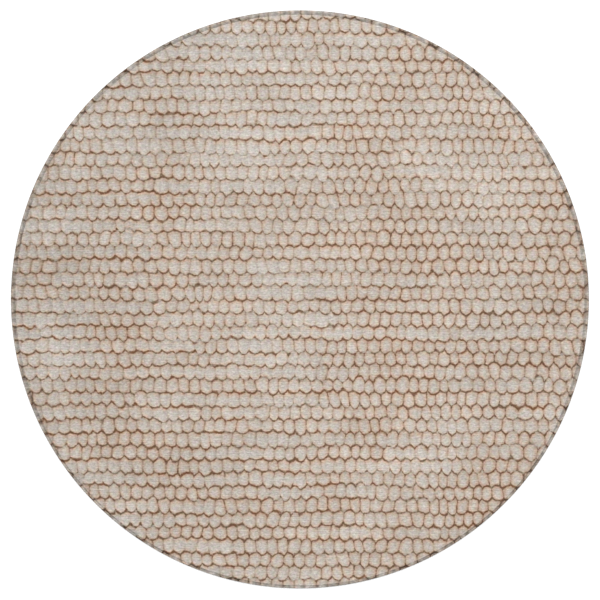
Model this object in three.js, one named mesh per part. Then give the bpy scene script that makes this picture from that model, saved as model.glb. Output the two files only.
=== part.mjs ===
// Round polyester rug, lying flat.
// Units are millimetres and +Z is up. The origin is the centre of the underside.
// The rows of the surface pattern run along X.
import * as THREE from 'three';

// Driving dimensions
const RUG_DIAMETER = 1219;      // a 4 ft round rug
const CLOTH_THICKNESS = 5;      // woven base and its short pile together
const SERGING_WIDTH = 9.5;      // how far the edge stitching reaches in from the rim
const SERGING_HEIGHT = 6;       // the stitched edge stands a little proud of the pile
const THREAD_LAYER = 1.2;       // thickness of the thread wrapped round the rim
const CLEARANCE = 0.3;          // air between the cloth and the thread layer
const ROUND_STEPS = 144;        // flat steps round the whole rug
const RIM_ARC_STEPS = 6;        // steps in the half rounds at the rim
const LIP_ARC_STEPS = 3;        // steps in the half round at each inner lip of the serging

// Sizes that follow from them
const RUG_RADIUS = RUG_DIAMETER / 2;
const MID_HEIGHT = SERGING_HEIGHT / 2;
const RIM_CENTRE = RUG_RADIUS - MID_HEIGHT;
const LIP_TIP = RUG_RADIUS - SERGING_WIDTH;
const LIP_ROUND = THREAD_LAYER / 2;
const SLOT_HALF_HEIGHT = MID_HEIGHT - THREAD_LAYER;
const RIM_HALF_HEIGHT = SLOT_HALF_HEIGHT - CLEARANCE;
const RIM_BOTTOM = MID_HEIGHT - RIM_HALF_HEIGHT;
const RIM_TOP = MID_HEIGHT + RIM_HALF_HEIGHT;
const SHOULDER = LIP_TIP - CLEARANCE;

// Points of an arc in the section plane, where x is the radius and y the height
function arc(centreRadius, centreHeight, radius, startDegrees, endDegrees, steps) {
  const points = [];
  for (let step = 0; step <= steps; step += 1) {
    const degrees = startDegrees + ((endDegrees - startDegrees) * step) / steps;
    const angle = THREE.MathUtils.degToRad(degrees);
    const x = centreRadius + radius * Math.cos(angle);
    const y = centreHeight + radius * Math.sin(angle);
    points.push(new THREE.Vector2(x, y));
  }
  return points;
}

// A closed ring or disc turned about Z from a section in radius and height
function turnedSolid(section) {
  const geometry = new THREE.LatheGeometry(section, ROUND_STEPS);
  geometry.rotateX(Math.PI / 2);
  return geometry;
}

function namedMesh(name, geometry, material) {
  const mesh = new THREE.Mesh(geometry, material);
  mesh.name = name;
  return mesh;
}

// The cloth is one flat disc. Its rim is pinched thinner where the stitching grips it.
function rugCloth() {
  const section = [
    new THREE.Vector2(0, 0),
    new THREE.Vector2(SHOULDER - RIM_BOTTOM, 0),
    new THREE.Vector2(SHOULDER, RIM_BOTTOM),
    ...arc(RIM_CENTRE, MID_HEIGHT, RIM_HALF_HEIGHT, -90, 90, RIM_ARC_STEPS),
    new THREE.Vector2(SHOULDER, RIM_TOP),
    new THREE.Vector2(SHOULDER - (CLOTH_THICKNESS - RIM_TOP), CLOTH_THICKNESS),
    new THREE.Vector2(0, CLOTH_THICKNESS),
  ];
  const material = new THREE.MeshStandardMaterial({
    color: new THREE.Color('rgb(190, 175, 160)'),
    roughness: 0.95,
    metalness: 0,
  });
  return namedMesh('rug_cloth', turnedSolid(section), material);
}

// The serged edge is thread wrapped over the rim: a ring whose section is a C open inwards
function sergedEdge() {
  const lipCentre = LIP_TIP + LIP_ROUND;
  const section = [
    ...arc(RIM_CENTRE, MID_HEIGHT, MID_HEIGHT, -90, 90, RIM_ARC_STEPS),
    ...arc(lipCentre, SERGING_HEIGHT - LIP_ROUND, LIP_ROUND, 90, 270, LIP_ARC_STEPS),
    ...arc(RIM_CENTRE, MID_HEIGHT, SLOT_HALF_HEIGHT, 90, -90, RIM_ARC_STEPS),
    ...arc(lipCentre, LIP_ROUND, LIP_ROUND, 90, 270, LIP_ARC_STEPS),
  ];
  section.push(section[0].clone());
  const material = new THREE.MeshStandardMaterial({
    color: new THREE.Color('rgb(155, 141, 129)'),
    roughness: 0.85,
    metalness: 0,
  });
  return namedMesh('serged_edge', turnedSolid(section), material);
}

const rug = new THREE.Group();
rug.add(rugCloth());
rug.add(sergedEdge());

export default rug;
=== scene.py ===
import math
from collections import namedtuple

import bpy
import numpy as np
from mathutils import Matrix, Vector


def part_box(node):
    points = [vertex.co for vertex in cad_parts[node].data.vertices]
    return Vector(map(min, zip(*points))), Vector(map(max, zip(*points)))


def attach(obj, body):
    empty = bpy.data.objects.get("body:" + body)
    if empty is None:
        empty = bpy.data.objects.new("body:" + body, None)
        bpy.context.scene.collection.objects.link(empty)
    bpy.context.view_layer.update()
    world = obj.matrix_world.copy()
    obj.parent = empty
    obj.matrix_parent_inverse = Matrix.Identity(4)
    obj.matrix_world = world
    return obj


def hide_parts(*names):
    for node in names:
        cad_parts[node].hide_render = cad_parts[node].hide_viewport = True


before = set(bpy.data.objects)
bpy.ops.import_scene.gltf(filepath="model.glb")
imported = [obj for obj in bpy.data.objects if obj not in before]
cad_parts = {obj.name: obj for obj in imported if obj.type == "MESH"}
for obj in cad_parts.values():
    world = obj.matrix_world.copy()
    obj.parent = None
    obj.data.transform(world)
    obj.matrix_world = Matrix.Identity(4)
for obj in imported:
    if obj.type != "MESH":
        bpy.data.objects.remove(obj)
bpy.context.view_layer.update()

# Lengths here are millimetres, and Blender's are metres
MM = 0.001

# Sizes taken from the frame
rug_low, rug_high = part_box("serged_edge")
cloth_low, cloth_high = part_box("rug_cloth")
RUG_RADIUS = (rug_high.x - rug_low.x) / 2 / MM
EDGE_HEIGHT = rug_high.z / MM
CLOTH_RADIUS = (cloth_high.x - cloth_low.x) / 2 / MM
CLOTH_TOP = cloth_high.z / MM

# A soft step from low at start to high at end
Step = namedtuple("Step", "start end low high")

# How strongly something is drawn: a base and shares of a field's values, within limits
Strength = namedtuple("Strength", "base least most shares")

# Woven cloth
RIB_PITCH = 4.58                # from one woven rib to the next
RIB_SAMPLES = 4                 # rows of mesh points to a rib
RIB_DEPTH = 0.40                # depth of the grooves between ribs on the face
BACK_RIB_DEPTH = 0.2
CLOTH_COLUMNS = 32              # mesh quads along a rib
END_ROW_GAP = 0.3               # least distance from the last straight row to the rim, in rows
FACE_RADIUS = CLOTH_RADIUS - 9.8  # the flat part, up to where the stitching pinches the cloth
SHOULDER_RADIUS = CLOTH_RADIUS - 8.3
RIM_HALF_HEIGHT = 1.5
RIM_ARC_STEPS = 4
FACE_MAP_RADIUS = 0.41          # size of the face and rim in the UV map
BACK_MAP_RADIUS = 0.17          # size of the underside there

# Stitched edge
EDGE_WIDTH = 9.5
NARROW_BY = 2.9                 # how much less of it there is on the near side
NARROW_START = 0.30             # where that begins, as a share of the way from the middle to the near side
NARROW_BLEND = 0.25             # over how much of that way it sets in
NARROW_FROM = 1 / 3             # the share of the band, from the rim, that is never narrowed
THREAD_TURNS = 1280             # turns of thread round the whole rug
TURN_SAMPLES = 4                # mesh points along the rim to a turn
THREAD_RELIEF = 0.55            # depth of the groove between two turns
THREAD_LAYER = 1.2
THREAD_SLANT = 0.9              # how many turns the thread moves on as it crosses the band
LIP_RELIEF = 0.5                # share of the relief that is left where the outer skin ends at a lip
EDGE_CROWN = 0.8                # how much lower the band is at its inner border
CREST_DROP = 0.2                # how much lower it is where it has nearly reached its full height
NEAR_CREST = 3.4                # how far in from the centre of the rim's arc that is
CREST = 1.4                     # how far in from there the full height begins
LIP_TURN = 0.8                  # how far the upper lip turns inwards, as a share of its half thickness
LIP_DROP = 0.2                  # how far below the band's inner border it turns
LIP_RISE = 0.1                  # how far above that border its middle stands
EDGE_ARC_START = 80             # degrees
EDGE_ARC_STEPS = 5
EDGE_MAP_STRIPS = 10            # straight strips that the ring is cut into in the UV map
EDGE_MAP_MARGIN = 0.02

# Print: rows of rounded loops
ROW_PITCH = 28.1
LOOP_WIDTH = 23.5
LOOP_JITTER = 0.19              # how far a loop's side may stray, as a share of the loop's width
LOOP_ROUNDING = 2.0             # power of the curve over a loop: 2 is a plain arch
LOOP_ARCH = 0.23                # height of that arch, as a share of the row pitch
ARCH_CHANGE = 0.08              # how much that height changes over the rug
ARCH_TREND = 0.045              # how much more it is at the right end
LINE_ARCH_CHANGE = 0.45         # how much it changes along one gap line, as a share of it
ARCH_MEAN = 0.65                # mean height of an arch, as a share of its full height
ROW_STAGGER = 0.511             # how far a row is shifted against the row below it, in loops
WANDER = 0.55                   # how far the loops of all the rows stray together
ROW_WANDER = 0.18               # how far the loops of one row stray alone
LEAD = Step(start=-0.24, end=0.24, low=0.06, high=0.94)  # share of a gap line's form from the row below it
UPPER_LEAD = 0.20               # how far that leans to the row above, at the middle of the rug
LINE_RISE = 0.08                # how far a gap line strays up and down, in row pitches
LINE_WANDER = 0.14              # the same, over a longer way
LOOP_LEAN = 0.30                # how far the sides of neighbouring loops lean together
LOOP_TILT = 0.34                # how far one side may lean alone
LOOP_LIFT = 0.15                # how far one loop may stand above its row, in row pitches
LIFT_POWER = 4                  # power by which that falls off towards the loop's sides
SIDE_SHIFT = 1.0                # how far left of the arches' feet the sides are drawn
SIDE_SHIFT_TREND = 1.5          # how much less that is at the right end of the rug
JAGGEDNESS = 0.8                # size of the small random steps in all lines
ROW_BEND = 2.4                  # how far a whole row bends up and down
FAR = 30.0                      # a distance that no line reaches

# Print: width and softness of its lines, by the distance from their middle
GAP_START = -0.5
GAP_WIDTH = 3.5
GAP_WIDTH_CHANGE = 1.2          # how much wider a gap line is where it is strong
LEAST_GAP_WIDTH = 2.6
MOST_GAP_WIDTH = 4.5
SIDE_START = -0.8
SIDE_WIDTH = 3.4
SMEAR_FROM = 0.3                # how high a wave must be to smear the lines
GAP_SMEAR = 5.0                 # how much wider that makes a gap line
SIDE_SMEAR = 3.0                # and a side line
SIDE_MIDDLE = 0.62              # strength of a side line at half its height
SIDE_END = 0.55                 # how much stronger it is at its ends
SIDE_END_FROM = 11              # how far from half height its full strength begins
CORNER_RADIUS = 7.5             # rounding of a loop's corners
NOTCH = Step(start=-3.0, end=1.8, low=1.0, high=0.0)       # dark notch in a corner, by distance into the loop
NOTCH_REACH = Step(start=3.0, end=7.0, low=1.0, high=0.0)  # and by distance from the further line
SPECKLE = 0.55                  # how uneven the dark of a line is

# Print: its random waves, each with its width and height in millimetres, its seed and any finer detail
PRINT_WAVES = {
    # Where the lines run
    "jagged_x": (6, 6, 1),
    "jagged_y": (6, 6, 2),
    "bend": (170, 170, 3),
    "arch": (260, 200, 9),
    # How strongly the lines are drawn
    "row": (420, 21, 11),
    "segment": (24, 15, 38),
    "wide": (260, 190, 12),
    "fine": (10, 8, 13),
    "busy": (215, 190, 47),
    "smear": (42, 18, 41),
    "side_row": (600, 24, 39),
    "side_patch": (70, 26, 37),
    "speckle": (5.5, 4.0, 14, 2.0),
    # Tone and colour of the loops
    "patch": (12, 9, 23),
    "short_yarn": (8, 3.2, 21),
    "long_yarn": (14, 5.0, 22),
    "fibre": (4.6, 3.4, 25),
    "fine_hue": (6, 5, 27),
    "hue": (14, 12, 35),
    "hue_zone": (90, 60, 29),
    "wide_hue_zone": (420, 420, 36),
    "rust": (36, 22, 42),
    "fine_green": (6, 5, 28),
    "green": (13, 11, 34),
}
WIDE_TREND = 0.45               # how much lower the wide waves lie at the far side of the rug

# Print: random waves along one row or one gap line, each with its length in millimetres, how far apart in
# row pitches two neighbouring rows take theirs, and its seed
ROW_WAVES = {
    "wander": (220, 0.25, 5),
    "own_wander": (100, 2.2, 16),
    "lean": (60, 3.7, 7),
    "lead": (70, 2.3, 6),
    "line_arch": (140, 5.1, 15),
    "rise": (45, 3.1, 8),
    "drift": (150, 4.3, 10),
    "long_tone": (340, 5.3, 26),
    "short_tone": (60, 6.1, 24),
}
NOISE_GAIN = 2.8                # brings the noise texture's usual spread to about a third each way
SEED_STEP = (17.31, 9.17, 0)    # how far apart in the noise texture two seeds are

# Print: seeds of the random numbers that each loop or side line has of its own
SIDE_FORM_SEED = 0
LOOP_TONE_SEED = 3
LIFT_SEED = 4
SIDE_TONE_SEED = 9

# Print: what makes its lines and its brown stronger in one place than in another
GAP_ZONE = {"row": 0.45, "wide": 0.12, "segment": 0.42, "busy": 0.10, "north": -0.06}
SIDE_ZONE = {"wide": 0.12, "side_row": 0.42, "east": 0.14, "side_patch": 0.36, "busy": 0.25}
HALO_ZONE = {"hue_zone": 0.12, "wide_hue_zone": 0.08, "gap_zone": 0.15}
STRENGTHS = {
    "gap": Strength(base=0.82, least=0.08, most=1.3, shares={"gap_zone": 1, "fine": 0.50}),
    "side": Strength(base=0.21, least=0.02, most=1.2, shares={"side_chance": 0.42, "side_zone": 1}),
    "notch": Strength(base=0.40, least=0.05, most=0.9, shares={"segment": 0.35, "wide": 0.25, "fine": 0.3}),
    "rim": Strength(base=0.85, least=0.1, most=1.5, shares={"side_zone": 1.3, "busy": 0.35, "patch": 0.35}),
    "top": Strength(base=0.3, least=0.0, most=1.0, shares={"own_top": 1.3}),
}

# Print: how light it is, 0 to 255
LOOP_LEVEL = 201.3
RIM_LEVEL = 187.5               # towards a loop's rim
TOP_LEVEL = 174                 # at its top, in the shade under the next row
SOFT_GAP_LEVEL = 138
DARK_GAP_LEVEL = 89
RIM_REACH = 3.5                 # how far in a loop's darker rim reaches
RIM_ROUNDING = 11.5             # how round that rim is in the loop's corners
TOP_REACH = 6.5                 # how far down a loop the shade at its top reaches
TOP_RAGGEDNESS = 0.6            # how uneven that is
TOP_SHARE = 0.8                 # how strong that shade is at most
SOFT_GAP_GAIN = 1.45            # how soon a line reaches the soft level as it gets darker
DARK_GAP_FROM = 0.40            # how dark it is where it begins to go on to the dark level
DARK_GAP_SPAN = 0.68            # and over how much more darkness it gets there
LOOP_HALF_HEIGHT = 14
TONE_GAIN = 0.45                # how much the tone of a place changes its level
TONE_BASE = -0.06
TONE_SHARES = {
    "own_tone": 0.06, "short_yarn": 0.175, "long_yarn": 0.12, "fibre": 0.195, "patch": 0.055, "wide": -0.02,
    "long_tone": 0.08, "short_tone": 0.055, "busy": -0.05, "up_loop": -0.02, "own_offset": -0.04,
    "own_offset_east": 0.03, "east": 0.06, "north": -0.01, "north_square": 0.04, "east_square": -0.06,
    "east_north": 0.027,
}

# Print: how much redder than blue it is, and how green
WARMTH_BASE = 14.25
GAP_WARMTH = 33
WARM_REACH = 4.7                # how far the brown reaches from a line
WARM_REACH_TREND = 0.06         # how much further the brown reaches for each millimetre up a loop
SIDE_WARMTH = 1.3               # how brown a side line is for its strength
RUST = 10                       # how far the brown of the dark lines changes from place to place
WARMTH_SHARES = {
    "fine_hue": 3.7, "hue": 2.3, "own_warmth": 1.5, "east_north": 1.7, "north": -0.6, "east_square": -1.2,
    "north_square": -2.3, "busy": 1.8,
}
GREEN_SHARES = {"fine_green": 5.6, "green": 4.8}
GREEN_LOSS_FROM = 28            # warmth past which the green falls
GREEN_LOSS = 0.17

# Looks of the cloth: its ribs and pile, and its underside
CLOTH_ROUGHNESS = 0.95
# Painted shade: the colour is darker in the grooves between ribs and a little lighter on the ribs
RIB_PAINTED_SHADE = Step(start=0.0, end=0.9, low=0.973, high=1.011)  # from the grooves to the ribs
PILE_SHEEN = 0.06
PILE_WAVES = {"pile": (1.2, 0.8, 31), "tuft": (3.5, 1.6, 32)}
PILE_SHARES = {"pile": 0.5, "tuft": 0.5}
PILE_BUMP = 0.35
BACK_WAVES = {"patch": (40, 40, 41), "grain": (3, 3, 42), "streak": (25, 6, 43)}
BACK_SHARES = {"weave": 0.2, "patch": 0.04, "grain": 0.06}
BACK_LIGHT = 0.85
BACK_DARK_COLOUR = (196, 184, 170)
BACK_PALE_COLOUR = (206, 196, 184)
BACK_BUMP = 0.4

# Looks of the edge thread
THREAD_ROUGHNESS = 0.8
THREAD_SHEEN = 0.05
THREAD_COLOUR = (158, 145, 132)
THREAD_WAVES = {"grey": (30, 30, 51), "patch": (12, 12, 52), "fibre": (1, 1, 53)}
THREAD_GREY = Step(start=0.0, end=0.25, low=0.35, high=0.08)      # how plain it is, from the rim inwards
THREAD_GREY_CHANGE = 0.2
THREAD_UNDERSIDE = Step(start=0.8, end=2.4, low=1.0, high=0.0)    # the same, by its height
THREAD_DIP_PAINTED_SHADE = Step(start=0.40, end=0.62, low=1.0, high=0.80)       # painted shade in the dip at the band's inner border, from the rim inwards
THREAD_DEEPENED = Step(start=0.10, end=0.34, low=0.70, high=1.0)  # its light, from dark print to pale
# Shares of the thread's tone by place and patch; the groove share is painted shade between the turns of
# thread
THREAD_TONE_AND_SHADE_SHARES = {"east_square": 0.10, "north": 0.045, "east": -0.035, "groove": -0.22, "patch": 0.34}
THREAD_LIGHT = 0.82
THREAD_BUMP = 0.2

# Gloss of every surface
SPECULAR = 0.1
SHEEN_ROUGHNESS = 0.6

# How light a white face looks under the lights, and the curve from a shown level to light
LIGHT_LEVEL = 1.53
LEVEL_OFFSET = 14.025
LEVEL_SPAN = 269.025
LEVEL_POWER = 2.4

# Stage, in Blender's metres but for the photo's pixels and the lens
PHOTO_SIDE = 600                # pixels
PHOTO_CENTRE = (299.92, 299.30)  # where the middle of the rug is in the photo
PHOTO_RADIUS = 288.99           # how large the rug is there
LENS = 85
SENSOR = 36
VIEW_END = 50
FLOOR_HALF = 30
FLOOR_COLOUR = (0.8, 0.8, 0.8, 1)
FLOOR_ROUGHNESS = 0.9
SKY_COLOUR = (1, 1, 1, 1)
SKY_STRENGTH = 0.72
WINDOW_SIZE = 3.0
WINDOW_POWER = 190              # watts
WINDOW_PLACE = (-0.1, 1.1, 4.3)


def arc(centre, height, radius, start, end, steps):
    """Points of an arc in the section plane, as (distance from the middle of the rug, height)."""
    angles = np.radians(np.linspace(start, end, steps + 1))
    return [(centre + radius * math.cos(a), height + radius * math.sin(a)) for a in angles]


def mesh_object(name, points, faces, material_of_face, materials, uv):
    """A smooth mesh from points in millimetres, with one UV place for each corner of each face."""
    mesh = bpy.data.meshes.new(name)
    mesh.from_pydata((points * MM).tolist(), [], faces.tolist())
    for material in materials:
        mesh.materials.append(material)
    mesh.polygons.foreach_set("material_index", material_of_face)
    mesh.polygons.foreach_set("use_smooth", np.ones(len(faces), dtype=bool))
    layer = mesh.uv_layers.new(name="OFBake")
    layer.uv.foreach_set("vector", uv.astype(np.float32).ravel())
    mesh.update()
    made = bpy.data.objects.new(name, mesh)
    bpy.context.scene.collection.objects.link(made)
    return made


def quads_of_grid(numbers):
    """The four corners of each cell of a grid of point numbers."""
    corners = [numbers[:-1, :-1], numbers[:-1, 1:], numbers[1:, 1:], numbers[1:, :-1]]
    return np.stack(corners, axis=-1).reshape(-1, 4)


def around(angle):
    """Directions out from the middle of the rug, as (x, y), at angles round it."""
    return np.stack([np.cos(angle), np.sin(angle)], axis=-1)


# Cloth
def disc_rows(radius):
    """Points of a disc, in rows a quarter of a rib apart. The first and last rows lie on the circle."""
    step = RIB_PITCH / RIB_SAMPLES
    last = int(radius / step - END_ROW_GAP)
    row_y = np.arange(-last, last + 1) * step
    across = np.linspace(-1, 1, CLOTH_COLUMNS + 1)
    x = np.sqrt(radius ** 2 - row_y ** 2)[:, None] * across
    y = np.repeat(row_y[:, None], CLOTH_COLUMNS + 1, axis=1)
    rim = np.sqrt(radius ** 2 - x ** 2)
    y[0] = -rim[0]
    y[-1] = rim[-1]
    return x, y


def groove_depth(y):
    """How deep a point is between two ribs, from 0 on the rib to 1 in the groove."""
    swell = np.abs(np.sin(math.pi * y / RIB_PITCH))
    return 1 - np.sqrt(swell)


def grid_border(numbers):
    """The grid's outer points in order, anticlockwise."""
    sides = [numbers[0, :-1], numbers[:-1, -1], numbers[-1, :0:-1], numbers[:0:-1, 0]]
    return np.concatenate(sides)


def band_quads(inner, outer):
    """Faces between two closed rings of point numbers."""
    return np.stack([inner, outer, np.roll(outer, -1), np.roll(inner, -1)], axis=-1)


def rim_section():
    """The pinched rim, from the upper shoulder round to the lower one."""
    middle = EDGE_HEIGHT / 2
    return [
        (SHOULDER_RADIUS, middle + RIM_HALF_HEIGHT),
        *arc(CLOTH_RADIUS - RIM_HALF_HEIGHT, middle, RIM_HALF_HEIGHT, 90, -90, RIM_ARC_STEPS),
        (SHOULDER_RADIUS, middle - RIM_HALF_HEIGHT),
    ]


def rim_rings(section, angle):
    """The rim's points, one ring for each point of its section."""
    rings = []
    for radius, height in section:
        if radius == SHOULDER_RADIUS:
            radius = radius + narrowing(angle)
        level = np.full_like(angle, height)
        rings.append(np.stack([radius * np.cos(angle), radius * np.sin(angle), level], axis=-1))
    return rings


def cloth_map(face, face_quads, section, angle, border):
    """UV places: the face with the rim unrolled round it in one circle, and the underside in a small one."""
    path = [(FACE_RADIUS, CLOTH_TOP), *section, (FACE_RADIUS, 0)]
    lengths = np.cumsum([0] + [math.dist(a, b) for a, b in zip(path, path[1:])])
    scale = FACE_MAP_RADIUS / (FACE_RADIUS + lengths[-1])
    flat_face = face[:, :2] * scale + FACE_MAP_RADIUS
    rings = [flat_face[border]]
    for length in lengths[1:]:
        rings.append((FACE_RADIUS + length) * scale * around(angle) + FACE_MAP_RADIUS)
    flat_back = 1 - BACK_MAP_RADIUS + face[:, :2] / FACE_RADIUS * BACK_MAP_RADIUS

    uv = [flat_face[face_quads].reshape(-1, 2)]
    ring = np.arange(len(border))
    for inner, outer in zip(rings, rings[1:]):
        both = np.concatenate([inner, outer])
        uv.append(both[band_quads(ring, ring + len(border))].reshape(-1, 2))
    uv.append(flat_back[face_quads[:, ::-1]].reshape(-1, 2))
    return np.concatenate(uv)


def build_cloth(face_material, back_material):
    x, y = disc_rows(FACE_RADIUS)
    groove = groove_depth(y)
    numbers = np.arange(x.size).reshape(x.shape)
    face = np.stack([x, y, CLOTH_TOP - RIB_DEPTH * groove], axis=-1).reshape(-1, 3)
    back = np.stack([x, y, BACK_RIB_DEPTH * groove], axis=-1).reshape(-1, 3)

    border = grid_border(numbers)
    angle = np.arctan2(face[border, 1], face[border, 0])
    section = rim_section()
    points = np.concatenate([face, *rim_rings(section, angle), back])

    ring_numbers = [len(face) + len(border) * k + np.arange(len(border)) for k in range(len(section))]
    back_start = len(face) + len(border) * len(section)
    loops = [border, *ring_numbers, border + back_start]
    bands = [band_quads(inner, outer) for inner, outer in zip(loops, loops[1:])]
    face_quads = quads_of_grid(numbers)
    back_quads = face_quads[:, ::-1] + back_start
    faces = np.concatenate([face_quads, *bands, back_quads])

    # The flat underside and the two bands of faces next to it are plain
    material_of_face = np.zeros(len(faces), dtype=np.int32)
    material_of_face[-len(back_quads) - 2 * len(border):] = 1
    uv = cloth_map(face, face_quads, section, angle, border)
    return mesh_object("rug_cloth_woven", points, faces, material_of_face, [face_material, back_material], uv)


# Stitched edge
def narrowing(angle):
    """How much the stitching is drawn out towards the rim at an angle round the rug, in millimetres."""
    nearness = np.clip((-np.sin(angle) - NARROW_START) / NARROW_BLEND, 0, 1)
    return NARROW_BY * nearness ** 2 * (3 - 2 * nearness)


def edge_section():
    """The stitching's outer skin, from its upper lip to its lower one, and then the skin by the cloth."""
    middle = EDGE_HEIGHT / 2
    rim_centre = RUG_RADIUS - middle
    lip = THREAD_LAYER / 2
    lip_centre = RUG_RADIUS - EDGE_WIDTH + lip
    border_height = EDGE_HEIGHT - EDGE_CROWN
    half_slot = middle - THREAD_LAYER
    outer = [
        (lip_centre - lip, EDGE_HEIGHT - THREAD_LAYER),
        (lip_centre - LIP_TURN * lip, border_height - LIP_DROP),
        (lip_centre, border_height + LIP_RISE),
        (rim_centre - NEAR_CREST, EDGE_HEIGHT - CREST_DROP),
        (rim_centre - CREST, EDGE_HEIGHT),
        *arc(rim_centre, middle, middle, EDGE_ARC_START, -90, EDGE_ARC_STEPS),
        *arc(lip_centre, lip, lip, -90, -180, 1),
    ]
    inner = [
        (lip_centre, middle - half_slot),
        (rim_centre, middle - half_slot),
        (rim_centre + half_slot, middle),
        (rim_centre, middle + half_slot),
        (lip_centre, middle + half_slot),
    ]
    return np.array(outer), np.array(inner)


def edge_map(lengths, count):
    """UV places of the ring, cut into straight strips that lie one above another."""
    turn = np.arange(count) / count * EDGE_MAP_STRIPS
    step = EDGE_MAP_STRIPS / count
    along = np.stack([turn, turn, turn + step, turn + step], axis=-1) - np.floor(turn)[:, None]
    share = lengths / lengths[-1] * (1 - 2 * EDGE_MAP_MARGIN) + EDGE_MAP_MARGIN
    corner_share = np.stack([share[:-1], share[1:], share[1:], share[:-1]], axis=-1)
    u = np.repeat(along[:, None], len(share) - 1, axis=1)
    v = (np.floor(turn)[:, None, None] + corner_share[None]) / EDGE_MAP_STRIPS
    return np.stack([u, v], axis=-1).reshape(-1, 2)


def build_edge(material):
    outer, inner = edge_section()
    path = np.concatenate([outer, inner, outer[:1]])
    lengths = np.concatenate([[0], np.cumsum(np.hypot(*np.diff(path, axis=0).T))])
    section = path[:-1]
    count = THREAD_TURNS * TURN_SAMPLES
    angle = np.arange(count) / count * 2 * math.pi

    # Each turn of thread is a ridge, slanting as it crosses the band, with a groove on both sides
    along_skin = np.gradient(section, axis=0)
    sideways = np.abs(along_skin[:, 1]) / np.linalg.norm(along_skin, axis=1)
    skin = np.where(np.arange(len(section)) < len(outer), 1.0, 0.0)
    skin[[0, len(outer) - 1]] = LIP_RELIEF
    slant = lengths[:-1] / EDGE_WIDTH * THREAD_SLANT
    phase = np.arange(count)[:, None] / TURN_SAMPLES + slant
    groove = 1 - np.sqrt(np.abs(np.sin(math.pi * phase)))
    sink = THREAD_RELIEF * groove * skin
    middle = EDGE_HEIGHT / 2
    from_rim = (RUG_RADIUS - section[:, 0]) / EDGE_WIDTH
    radius = section[:, 0] - sideways * np.sign(section[:, 0] - RUG_RADIUS + middle) * sink
    drawn_share = np.clip((from_rim - NARROW_FROM) / (1 - NARROW_FROM), 0, 1)
    radius = radius + narrowing(angle)[:, None] * drawn_share
    height = section[:, 1] + (middle - section[:, 1]) / middle * sink
    x = radius * np.cos(angle)[:, None]
    y = radius * np.sin(angle)[:, None]
    points = np.stack([x, y, height], axis=-1).reshape(-1, 3)

    numbers = np.arange(len(points)).reshape(count, len(section))
    numbers = np.concatenate([numbers, numbers[:1]])
    numbers = np.concatenate([numbers, numbers[:, :1]], axis=1)
    faces = quads_of_grid(numbers)
    material_of_face = np.zeros(len(faces), dtype=np.int32)
    uv = edge_map(lengths, count)
    made = mesh_object("serged_edge_thread", points, faces, material_of_face, [material], uv)

    across = np.broadcast_to(from_rim, groove.shape)
    for name, values in (("groove", groove * skin), ("across", across)):
        layer = made.data.attributes.new(name, "FLOAT", "POINT")
        layer.data.foreach_set("value", values.astype(np.float32).ravel())
    return made


# Shader arithmetic
class Value:
    """A number or vector at every point of a surface. Sums of Values make the nodes that work them out."""

    def __init__(self, socket):
        self.socket = socket

    def __add__(self, other):
        return calculate("ADD", self, other)

    def __radd__(self, other):
        return calculate("ADD", other, self)

    def __sub__(self, other):
        return calculate("SUBTRACT", self, other)

    def __rsub__(self, other):
        return calculate("SUBTRACT", other, self)

    def __mul__(self, other):
        return calculate("MULTIPLY", self, other)

    def __rmul__(self, other):
        return calculate("MULTIPLY", other, self)

    def __truediv__(self, other):
        return calculate("DIVIDE", self, other)

    def __pow__(self, other):
        return calculate("POWER", self, other)


def new_node(value, kind):
    """A node in the tree that a Value belongs to."""
    return value.socket.id_data.nodes.new(kind)


def feed(entry, source):
    """Gives a node's input a Value or a plain number."""
    if isinstance(source, Value):
        entry.id_data.links.new(source.socket, entry)
    else:
        entry.default_value = source


def calculate(operation, *sources):
    node = new_node(next(s for s in sources if isinstance(s, Value)), "ShaderNodeMath")
    node.operation = operation
    for entry, source in zip(node.inputs, sources):
        feed(entry, source)
    return Value(node.outputs[0])


def floor(value):
    return calculate("FLOOR", value)


def size_of(value):
    return calculate("ABSOLUTE", value)


def greater(a, b):
    return calculate("MAXIMUM", a, b)


def lesser(a, b):
    return calculate("MINIMUM", a, b)


def limit(value, low, high):
    return lesser(greater(value, low), high)


def root(value):
    return calculate("SQRT", value)


def fall_off(distance, reach):
    """1 where the distance is 0 or less, fading to nothing over a few times the reach."""
    return calculate("EXPONENT", greater(distance, 0.0) * (-1 / reach))


def bell(distance, reach):
    """1 where the distance is 0 or less, fading like a bell curve."""
    part = greater(distance, 0.0) / reach
    return calculate("EXPONENT", part * part * -0.5)


def ramp(value, start, end, low, high):
    """A soft step from low at start to high at end."""
    node = new_node(value, "ShaderNodeMapRange")
    node.interpolation_type = "SMOOTHSTEP"
    for entry, source in zip(node.inputs, (value, start, end, low, high)):
        feed(entry, source)
    return Value(node.outputs[0])


# Where the mix node has its two numbers, its two colours and its mixed colour
MIX_NUMBERS = (2, 3)
MIX_COLOURS = (6, 7)
MIXED_COLOUR = 2


def blend(amount, below, above):
    """below where amount is 0 or less, above where it is 1 or more, and a mix of them between."""
    node = new_node(amount, "ShaderNodeMix")
    node.data_type = "FLOAT"
    feed(node.inputs[0], amount)
    for index, source in zip(MIX_NUMBERS, (below, above)):
        feed(node.inputs[index], source)
    return Value(node.outputs[0])


def tint(amount, below, above):
    """The same for colours, where each is a Value or three numbers."""
    node = new_node(amount, "ShaderNodeMix")
    node.data_type = "RGBA"
    feed(node.inputs[0], amount)
    for index, source in zip(MIX_COLOURS, (below, above)):
        feed(node.inputs[index], source if isinstance(source, Value) else (*source, 1))
    return Value(node.outputs[MIXED_COLOUR])


def choose(flag, yes, no):
    """yes where flag is 1, and no where it is 0."""
    return blend(flag, no, yes)


def vector(x, y, z=0.0):
    """A vector of three Values or numbers."""
    node = new_node(next(s for s in (x, y, z) if isinstance(s, Value)), "ShaderNodeCombineXYZ")
    for entry, source in zip(node.inputs, (x, y, z)):
        feed(entry, source)
    return Value(node.outputs[0])


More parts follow.
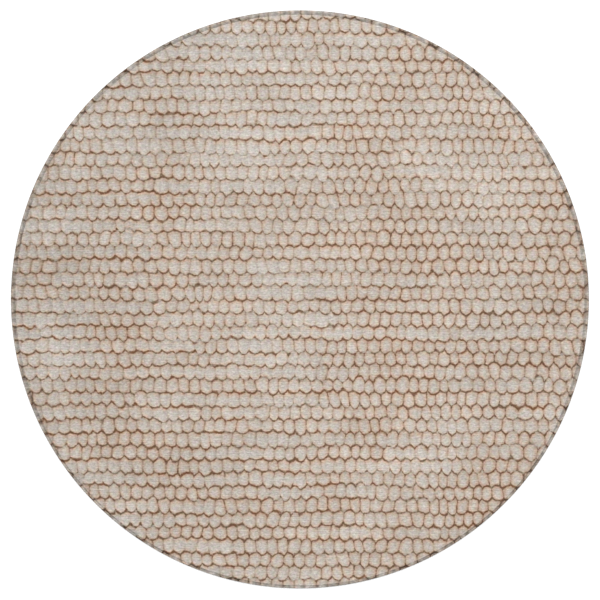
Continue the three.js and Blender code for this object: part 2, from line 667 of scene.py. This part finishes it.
def parts_of(place):
    """The three numbers of a vector."""
    node = new_node(place, "ShaderNodeSeparateXYZ")
    feed(node.inputs[0], place)
    return [Value(output) for output in node.outputs]


def colour_parts(colour):
    """The red, green and blue of a colour."""
    node = new_node(colour, "ShaderNodeSeparateColor")
    feed(node.inputs[0], colour)
    return [Value(output) for output in node.outputs]


def scaled(value, by):
    """A vector times a vector, or a colour times a colour, where by is a Value or three numbers."""
    node = new_node(value, "ShaderNodeVectorMath")
    node.operation = "MULTIPLY"
    feed(node.inputs[0], value)
    feed(node.inputs[1], by)
    return Value(node.outputs[0])


def shade(colour, light):
    """The colour made darker or lighter, where light is a Value."""
    return scaled(colour, vector(light, light, light))


def mixed(field, shares):
    """The sum of a field's named Values, each times its share."""
    first, *others = [field[name] * share for name, share in shares.items()]
    return sum(others, first)


def noise(place, width, height, seed, detail=1.0):
    """Smooth random waves between about -1 and 1, of that width and height in millimetres."""
    tree = place.socket.id_data
    moved = tree.nodes.new("ShaderNodeVectorMath")
    moved.operation = "MULTIPLY_ADD"
    feed(moved.inputs[0], place)
    moved.inputs[1].default_value = (1 / width, 1 / height, 0)
    moved.inputs[2].default_value = [step * seed for step in SEED_STEP]
    texture = tree.nodes.new("ShaderNodeTexNoise")
    texture.noise_dimensions = "2D"
    tree.links.new(moved.outputs[0], texture.inputs["Vector"])
    texture.inputs["Scale"].default_value = 1
    texture.inputs["Detail"].default_value = detail
    return (Value(texture.outputs[0]) - 0.5) * NOISE_GAIN


def waves(place, forms):
    """Random waves by name, from the forms that they have."""
    return {name: noise(place, *form) for name, form in forms.items()}


def row_wave(x, row, name):
    """Random waves along a row, other ones in each row."""
    length, step, seed = ROW_WAVES[name]
    return noise(vector(x, row * (step * ROW_PITCH)), length, length, seed)


def chances(column, row, seed):
    """Three random numbers from 0 to 1, the same all over one cell of the print."""
    place = vector(column, row, float(seed))
    texture = new_node(place, "ShaderNodeTexWhiteNoise")
    feed(texture.inputs["Vector"], place)
    return colour_parts(Value(texture.outputs["Color"]))


# Print
def seen(level):
    """The share of light that a surface gives back, from how light it looks, 0 to 255."""
    return ((level + LEVEL_OFFSET) / LEVEL_SPAN) ** LEVEL_POWER * (1 / LIGHT_LEVEL)


def seen_colour(levels):
    return [seen(level) for level in levels]


def loops_in_row(x, v, row):
    """Where a point lies among the loops of one row of the print."""
    wander = row_wave(x, row, "wander") * WANDER
    own_wander = row_wave(x, row, "own_wander") * ROW_WANDER
    height = v - row - 0.5
    lean = row_wave(x, row, "lean") * height
    along = x / LOOP_WIDTH + row * ROW_STAGGER + wander + own_wander + lean * LOOP_LEAN
    cell = floor(along)
    sides = []
    for k in (-1.0, 0.0, 1.0):
        stray, tilt, _ = chances(cell + k, row, SIDE_FORM_SEED)
        sides.append(cell + k + stray * LOOP_JITTER + (tilt - 0.5) * height * LOOP_TILT)
    past = calculate("GREATER_THAN", along, sides[1])
    left = choose(past, sides[1], sides[0])
    right = choose(past, sides[2], sides[1])
    half = (right - left) * 0.5
    offset = (along - (left + right) * 0.5) / half
    reach = size_of(offset)
    arch = (1 - reach ** LOOP_ROUNDING) * half * 2
    steepness = -2 * LOOP_ROUNDING / LOOP_WIDTH
    slope = calculate("SIGN", offset) * reach ** (LOOP_ROUNDING - 1) * steepness
    number = cell - 1 + past
    shift = (SIDE_SHIFT - x * (SIDE_SHIFT_TREND / RUG_RADIUS)) / LOOP_WIDTH
    from_left, from_right = along - left + shift, size_of(right - along - shift)
    nearer = calculate("LESS_THAN", from_left, from_right)
    chance = chances(number, row, LIFT_SEED)[1]
    return {
        "row": row,
        "number": number,
        "arch": arch,
        "slope": slope,
        "side": lesser(from_left, from_right) * LOOP_WIDTH,
        "side_number": number + 1 - nearer,
        "lift": (chance - 0.5) * LOOP_LIFT * (1 - reach ** LIFT_POWER),
        "offset": offset,
    }


def gap_line(x, line, below, above, arch):
    """Height and slope of the gap between two rows, which one row or the other shapes more."""
    lead = ramp(row_wave(x, line, "lead") + x * (UPPER_LEAD / RUG_RADIUS) - UPPER_LEAD, *LEAD)
    rest = 1 - lead
    arch = arch * (row_wave(x, line, "line_arch") * LINE_ARCH_CHANGE + 1)
    rise = row_wave(x, line, "rise") * LINE_RISE + row_wave(x, line, "drift") * LINE_WANDER
    form = (lead * below["arch"] - rest * above["arch"] - (lead - 0.5) * (2 * ARCH_MEAN)) * arch
    height = line + form + rise + lead * below["lift"] + rest * above["lift"]
    slope = (lead * below["slope"] - rest * above["slope"]) * arch * ROW_PITCH
    return height, slope


def distance_to_line(v, height, slope):
    """True distance in millimetres, which is less than the upright one where the line is steep."""
    return size_of(v - height) * ROW_PITCH / root(slope * slope + 1)


def round_corner(a, b, radius):
    """Distance in from the edge of a shape with round corners, from the distances to two of its sides."""
    short_a, short_b = greater(radius - a, 0.0), greater(radius - b, 0.0)
    return radius - root(short_a * short_a + short_b * short_b)


def print_field(place):
    """The Values known at a place, by name: where it is on the rug, and the random waves there."""
    field = waves(place, PRINT_WAVES)
    x, y, _ = parts_of(place)
    east, north = x * (1 / RUG_RADIUS), y * (1 / RUG_RADIUS)
    field["x"] = x + field["jagged_x"] * JAGGEDNESS
    field["v"] = (y + (field["bend"] * ROW_BEND + field["jagged_y"] * JAGGEDNESS)) / ROW_PITCH
    field["east"] = east
    field["north"] = north
    field["east_square"] = east * east
    field["north_square"] = north * north
    field["east_north"] = east * north
    field["wide"] = field["wide"] - north * WIDE_TREND
    return field


def find_loop(field):
    """Adds to the field which loop the place lies in, and how far its gap and side lines are."""
    x, v = field["x"], field["v"]
    row = floor(v)
    rows = [loops_in_row(x, v, row + k) for k in (-1.0, 0.0, 1.0)]
    arch = field["arch"] * ARCH_CHANGE + LOOP_ARCH + field["east"] * ARCH_TREND
    low, low_slope = gap_line(x, row, rows[0], rows[1], arch)
    high, high_slope = gap_line(x, row + 1, rows[1], rows[2], arch)
    is_below = calculate("LESS_THAN", v, low)
    is_above = calculate("GREATER_THAN", v, high)
    for key in ("row", "number", "side", "side_number", "offset"):
        field["own_" + key] = choose(is_above, rows[2][key], choose(is_below, rows[0][key], rows[1][key]))
    to_low = distance_to_line(v, low, low_slope)
    to_high = distance_to_line(v, high, high_slope)
    field["gap"] = lesser(to_low, to_high)
    field["under"] = choose(is_above, FAR, choose(is_below, to_low, to_high))
    field["from_middle"] = (v - field["own_row"] - 0.5) * ROW_PITCH


def strength(field, name):
    """How strongly a kind of line or shade is drawn at the place."""
    form = STRENGTHS[name]
    return limit(mixed(field, form.shares) + form.base, form.least, form.most)


def draw_lines(field):
    """Adds to the field how dark the lines make the place, and how strongly they are drawn there."""
    gap, side = field["gap"], field["own_side"]
    field["gap_zone"] = mixed(field, GAP_ZONE)
    field["side_zone"] = mixed(field, SIDE_ZONE)
    field["side_chance"] = chances(field["own_side_number"], field["own_row"], SIDE_TONE_SEED)[0]
    field["gap_strength"] = strength(field, "gap")
    field["side_strength"] = strength(field, "side")
    smear = greater(field["smear"] - SMEAR_FROM, 0.0)

    gap_width = field["gap_zone"] * GAP_WIDTH_CHANGE + GAP_WIDTH
    gap_width = limit(gap_width, LEAST_GAP_WIDTH, MOST_GAP_WIDTH) + smear * GAP_SMEAR
    gap_tone = ramp(gap, GAP_START, gap_width, low=1.0, high=0.0) * field["gap_strength"]
    toward_end = limit(size_of(field["from_middle"]) / SIDE_END_FROM, 0.0, 1.0) * SIDE_END + SIDE_MIDDLE
    side_width = smear * SIDE_SMEAR + SIDE_WIDTH
    side_tone = ramp(side, SIDE_START, side_width, low=1.0, high=0.0) * field["side_strength"] * toward_end
    corner = round_corner(side, gap, CORNER_RADIUS)
    notch = ramp(corner, *NOTCH) * ramp(greater(side, gap), *NOTCH_REACH) * strength(field, "notch")
    speckle = field["speckle"] * SPECKLE + 1
    field["dark"] = (1 - (1 - gap_tone) * (1 - side_tone) * (1 - notch)) * speckle


def print_level(field):
    """How light the print is, 0 to 255. Every loop and every row has its own small difference of tone."""
    row, dark = field["own_row"], field["dark"]
    field["long_tone"] = row_wave(field["x"], row, "long_tone")
    field["short_tone"] = row_wave(field["x"], row, "short_tone")
    field["up_loop"] = limit(field["from_middle"] / LOOP_HALF_HEIGHT, -1.0, 1.0)
    field["own_offset_east"] = field["own_offset"] * field["east"]
    inside = round_corner(field["own_side"], field["gap"], RIM_ROUNDING)
    rim = bell(inside, RIM_REACH) * strength(field, "rim")
    ragged = field["under"] * (field["fine"] * TOP_RAGGEDNESS + 1)
    top = fall_off(ragged, TOP_REACH) * strength(field, "top")
    level = blend(rim, LOOP_LEVEL, RIM_LEVEL)
    level = blend(top * TOP_SHARE, level, TOP_LEVEL)
    level = blend(dark * SOFT_GAP_GAIN, level, SOFT_GAP_LEVEL)
    level = blend((dark - DARK_GAP_FROM) / DARK_GAP_SPAN, level, DARK_GAP_LEVEL)
    return level * ((mixed(field, TONE_SHARES) + TONE_BASE) * TONE_GAIN + 1)


def print_warmth(field):
    """How much redder than blue the print is. The brown of a gap spreads further than its shade does."""
    gap_halo = bell(field["gap"], field["from_middle"] * WARM_REACH_TREND + WARM_REACH)
    side_halo = bell(field["own_side"], WARM_REACH) * limit(field["side_strength"] * SIDE_WARMTH, 0.0, 1.0)
    halo = 1 - (1 - gap_halo * field["gap_strength"]) * (1 - side_halo)
    halo = halo * (mixed(field, HALO_ZONE) + 1)
    rust = field["rust"] * limit(field["dark"], 0.0, 1.0) * RUST
    return halo * GAP_WARMTH + WARMTH_BASE + mixed(field, WARMTH_SHARES) + rust


def print_colour(place):
    """The colour of the print at a place on the rug, given in millimetres."""
    field = print_field(place)
    find_loop(field)
    draw_lines(field)
    own_chances = chances(field["own_number"], field["own_row"], LOOP_TONE_SEED)
    field["own_tone"], field["own_warmth"], field["own_top"] = own_chances
    level, warmth = print_level(field), print_warmth(field)
    green = mixed(field, GREEN_SHARES) - greater(warmth - GREEN_LOSS_FROM, 0.0) * GREEN_LOSS
    middle = level - green * (1 / 3)
    return vector(*seen_colour((middle + warmth * 0.5, middle + green, middle - warmth * 0.5)))


# Materials
def print_group():
    """A node group that gives the print's colour at a place in metres. The cloth and its edge share it."""
    group = bpy.data.node_groups.new("loop_print", "ShaderNodeTree")
    group.interface.new_socket("Place", in_out="INPUT", socket_type="NodeSocketVector")
    group.interface.new_socket("Color", in_out="OUTPUT", socket_type="NodeSocketColor")
    start = group.nodes.new("NodeGroupInput")
    end = group.nodes.new("NodeGroupOutput")
    place = scaled(Value(start.outputs[0]), (1 / MM, 1 / MM, 0))
    feed(end.inputs[0], print_colour(place))
    return group


def new_material(name, roughness, sheen):
    """A material with one Principled shader. Returns it, its shader and the object's own coordinates."""
    material = bpy.data.materials.new(name)
    material.use_nodes = True
    nodes = material.node_tree.nodes
    nodes.clear()
    output = nodes.new("ShaderNodeOutputMaterial")
    shader = nodes.new("ShaderNodeBsdfPrincipled")
    material.node_tree.links.new(shader.outputs[0], output.inputs["Surface"])
    shader.inputs["Roughness"].default_value = roughness
    shader.inputs["Specular IOR Level"].default_value = SPECULAR
    shader.inputs["Sheen Weight"].default_value = sheen
    shader.inputs["Sheen Roughness"].default_value = SHEEN_ROUGHNESS
    place = Value(nodes.new("ShaderNodeTexCoord").outputs["Object"])
    return material, shader, place


def in_millimetres(place):
    return scaled(place, (1 / MM, 1 / MM, 1 / MM))


def raise_surface(shader, height, depth):
    """Bump, where height is from about 0 to 1 and depth its size in millimetres."""
    node = new_node(height, "ShaderNodeBump")
    node.inputs["Strength"].default_value = 1
    node.inputs["Distance"].default_value = depth * MM
    feed(node.inputs["Height"], height)
    feed(shader.inputs["Normal"], Value(node.outputs[0]))


def printed(place, group):
    """The colour of the print at a place in metres."""
    node = new_node(place, "ShaderNodeGroup")
    node.node_tree = group
    feed(node.inputs[0], place)
    return Value(node.outputs[0])


def rib_wave(distance):
    return calculate("SINE", distance * (math.pi / RIB_PITCH))


def face_material(group):
    """Short polyester pile on woven ribs, with the print, and painted shade in the grooves between the ribs.
    """
    material, shader, place = new_material("printed_pile", CLOTH_ROUGHNESS, PILE_SHEEN)
    spot = in_millimetres(place)
    rib = size_of(rib_wave(parts_of(spot)[1]))
    feed(shader.inputs["Base Color"], shade(printed(place, group), ramp(rib, *RIB_PAINTED_SHADE)))
    raise_surface(shader, mixed(waves(spot, PILE_WAVES), PILE_SHARES), PILE_BUMP)
    return material


def back_material():
    """The plain woven underside."""
    material, shader, place = new_material("woven_back", CLOTH_ROUGHNESS, sheen=0.0)
    spot = in_millimetres(place)
    x, y, _ = parts_of(spot)
    field = waves(spot, BACK_WAVES)
    field["weave"] = size_of(rib_wave(x) * rib_wave(y))
    streak = limit(field["streak"] * 0.5 + 0.5, 0.0, 1.0)
    base = tint(streak, seen_colour(BACK_DARK_COLOUR), seen_colour(BACK_PALE_COLOUR))
    feed(shader.inputs["Base Color"], shade(base, mixed(field, BACK_SHARES) + BACK_LIGHT))
    raise_surface(shader, field["weave"], BACK_BUMP)
    return material


def attribute(material, name):
    """A number that the mesh gives for each of its points."""
    node = material.node_tree.nodes.new("ShaderNodeAttribute")
    node.attribute_name = name
    return Value(node.outputs["Fac"])


def edge_material(group):
    """Wrapped thread, dyed on top by the print that runs on over it, with painted shade in its inner dip and
    between its turns.
    """
    material, shader, place = new_material("edge_thread", THREAD_ROUGHNESS, THREAD_SHEEN)
    spot = in_millimetres(place)
    inward = attribute(material, "across")
    x, y, height = parts_of(spot)
    field = waves(spot, THREAD_WAVES)
    field["groove"] = attribute(material, "groove")
    field["east"] = x * (1 / RUG_RADIUS)
    field["north"] = y * (1 / RUG_RADIUS)
    field["east_square"] = field["east"] * field["east"]

    # The thread is greyer towards the rim, and plain underneath
    dyed = printed(place, group)
    grey = limit(field["grey"] * THREAD_GREY_CHANGE + ramp(inward, *THREAD_GREY), 0.0, 1.0)
    grey = greater(grey, ramp(height, *THREAD_UNDERSIDE))
    colour = tint(grey, dyed, seen_colour(THREAD_COLOUR))

    # It is darker where the print is dark; painted shade darkens it in the dip at its inner border and in the
    # grooves between turns
    _, green, _ = colour_parts(dyed)
    light = (mixed(field, THREAD_TONE_AND_SHADE_SHARES) + THREAD_LIGHT) * ramp(inward, *THREAD_DIP_PAINTED_SHADE)
    light = light * ramp(green, *THREAD_DEEPENED)
    feed(shader.inputs["Base Color"], shade(colour, light))
    raise_surface(shader, field["fibre"], THREAD_BUMP)
    return material


# Stage: camera straight above, a pale floor and soft lights
def build_camera():
    pixel = RUG_RADIUS / PHOTO_RADIUS
    frame_width = PHOTO_SIDE * pixel
    half = PHOTO_SIDE / 2
    data = bpy.data.cameras.new("camera")
    data.lens = LENS
    data.sensor_width = SENSOR
    data.clip_end = VIEW_END
    camera = bpy.data.objects.new("camera", data)
    bpy.context.scene.collection.objects.link(camera)
    camera.location = (
        (half - PHOTO_CENTRE[0]) * pixel * MM,
        (PHOTO_CENTRE[1] - half) * pixel * MM,
        (frame_width * LENS / SENSOR + EDGE_HEIGHT / 2) * MM,
    )
    bpy.context.scene.camera = camera


def build_floor():
    near, far = -FLOOR_HALF, FLOOR_HALF
    corners = [(near, near, 0), (far, near, 0), (far, far, 0), (near, far, 0)]
    mesh = bpy.data.meshes.new("floor")
    mesh.from_pydata(corners, [], [(0, 1, 2, 3)])
    floor_object = bpy.data.objects.new("floor", mesh)
    bpy.context.scene.collection.objects.link(floor_object)
    material, shader, _ = new_material("floor_white", FLOOR_ROUGHNESS, sheen=0.0)
    shader.inputs["Base Color"].default_value = FLOOR_COLOUR
    mesh.materials.append(material)


def build_lights():
    scene = bpy.context.scene
    scene.view_settings.view_transform = "Standard"
    world = bpy.data.worlds.new("world")
    world.use_nodes = True
    world.node_tree.nodes["Background"].inputs["Color"].default_value = SKY_COLOUR
    world.node_tree.nodes["Background"].inputs["Strength"].default_value = SKY_STRENGTH
    scene.world = world
    data = bpy.data.lights.new("window", "AREA")
    data.shape = "SQUARE"
    data.size = WINDOW_SIZE
    data.energy = WINDOW_POWER
    light = bpy.data.objects.new("window", data)
    light.location = WINDOW_PLACE
    light.rotation_mode = "QUATERNION"
    light.rotation_quaternion = light.location.to_track_quat("Z", "Y")
    scene.collection.objects.link(light)


build_camera()
build_floor()
build_lights()
loop_print = print_group()
cloth = build_cloth(face_material(loop_print), back_material())
edge = build_edge(edge_material(loop_print))

for piece, node, slot in ((cloth, "rug_cloth", "printed_cloth"), (edge, "serged_edge", "edge_thread")):
    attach(piece, "root")
    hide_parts(node)
